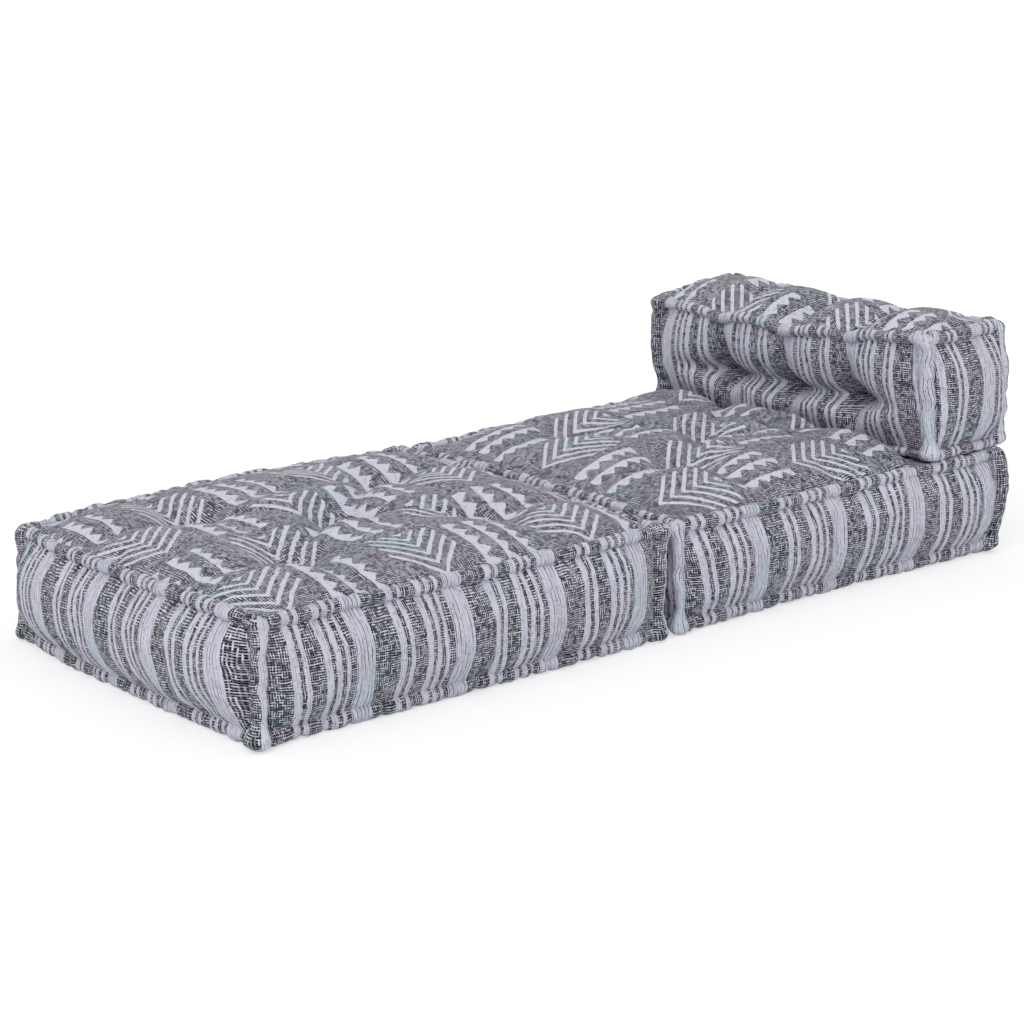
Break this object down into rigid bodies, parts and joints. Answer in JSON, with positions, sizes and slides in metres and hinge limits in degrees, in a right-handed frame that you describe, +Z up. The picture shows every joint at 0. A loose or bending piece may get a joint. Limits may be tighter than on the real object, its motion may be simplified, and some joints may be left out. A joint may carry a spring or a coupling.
{
  "type": "modular sofa",
  "caption": "Low floor sofa in modules: a tufted ottoman and a tufted seat cushion in a row, and a tufted backrest cushion on the seat's rear edge, all with stitched edge rolls.",
  "frame": {"origin": "middle of the row of modules, on the floor", "axes": "+X across the row to the right as seen from the ottoman's end, +Y from the ottoman to the backrest, +Z up"},
  "size_m": [0.6, 1.396, 0.3679],
  "materials": {
    "figured_cloth": "matte",
    "striped_cloth": "matte",
    "base_cloth": "matte",
    "cotton_filling": "matte",
    "tuft_twine": "matte"
  },
  "bodies": {
    "ottoman_module": {"ottoman_top_panel": "figured_cloth", "ottoman_bottom_panel": "base_cloth", "ottoman_front_panel": "striped_cloth", "ottoman_rear_panel": "striped_cloth", "ottoman_left_panel": "striped_cloth", "ottoman_right_panel": "striped_cloth", "ottoman_bottom_front_roll": "striped_cloth", "ottoman_bottom_rear_roll": "striped_cloth", "ottoman_bottom_left_roll": "striped_cloth", "ottoman_bottom_right_roll": "striped_cloth", "ottoman_top_front_roll": "striped_cloth", "ottoman_top_rear_roll": "striped_cloth", "ottoman_top_left_roll": "striped_cloth", "ottoman_top_right_roll": "striped_cloth", "ottoman_front_left_roll": "striped_cloth", "ottoman_front_right_roll": "striped_cloth", "ottoman_rear_left_roll": "striped_cloth", "ottoman_rear_right_roll": "striped_cloth", "ottoman_filling": "cotton_filling", "ottoman_tuft_ties": "tuft_twine"},
    "seat_module": {"seat_top_panel": "figured_cloth", "seat_bottom_panel": "base_cloth", "seat_front_panel": "striped_cloth", "seat_rear_panel": "striped_cloth", "seat_left_panel": "striped_cloth", "seat_right_panel": "striped_cloth", "seat_bottom_front_roll": "striped_cloth", "seat_bottom_rear_roll": "striped_cloth", "seat_bottom_left_roll": "striped_cloth", "seat_bottom_right_roll": "striped_cloth", "seat_top_front_roll": "striped_cloth", "seat_top_rear_roll": "striped_cloth", "seat_top_left_roll": "striped_cloth", "seat_top_right_roll": "striped_cloth", "seat_front_left_roll": "striped_cloth", "seat_front_right_roll": "striped_cloth", "seat_rear_left_roll": "striped_cloth", "seat_rear_right_roll": "striped_cloth", "seat_filling": "cotton_filling", "seat_tuft_ties": "tuft_twine"},
    "backrest_module": {"backrest_top_panel": "figured_cloth", "backrest_bottom_panel": "base_cloth", "backrest_front_panel": "striped_cloth", "backrest_rear_panel": "striped_cloth", "backrest_left_panel": "striped_cloth", "backrest_right_panel": "striped_cloth", "backrest_bottom_front_roll": "striped_cloth", "backrest_bottom_rear_roll": "striped_cloth", "backrest_bottom_left_roll": "striped_cloth", "backrest_bottom_right_roll": "striped_cloth", "backrest_top_front_roll": "striped_cloth", "backrest_top_rear_roll": "striped_cloth", "backrest_top_left_roll": "striped_cloth", "backrest_top_right_roll": "striped_cloth", "backrest_front_left_roll": "striped_cloth", "backrest_front_right_roll": "striped_cloth", "backrest_rear_left_roll": "striped_cloth", "backrest_rear_right_roll": "striped_cloth", "backrest_filling": "cotton_filling", "backrest_tuft_ties": "tuft_twine"}
  },
  "joints": [
    {"name": "ottoman_slide", "type": "slide", "parent": "seat_module", "child": "ottoman_module", "axis": [0, -1, 0], "range_m": [0, 0.7]},
    {"name": "backrest_lift", "type": "slide", "parent": "seat_module", "child": "backrest_module", "axis": [0, 0, 1], "range_m": [0, 0.3]}
  ]
}
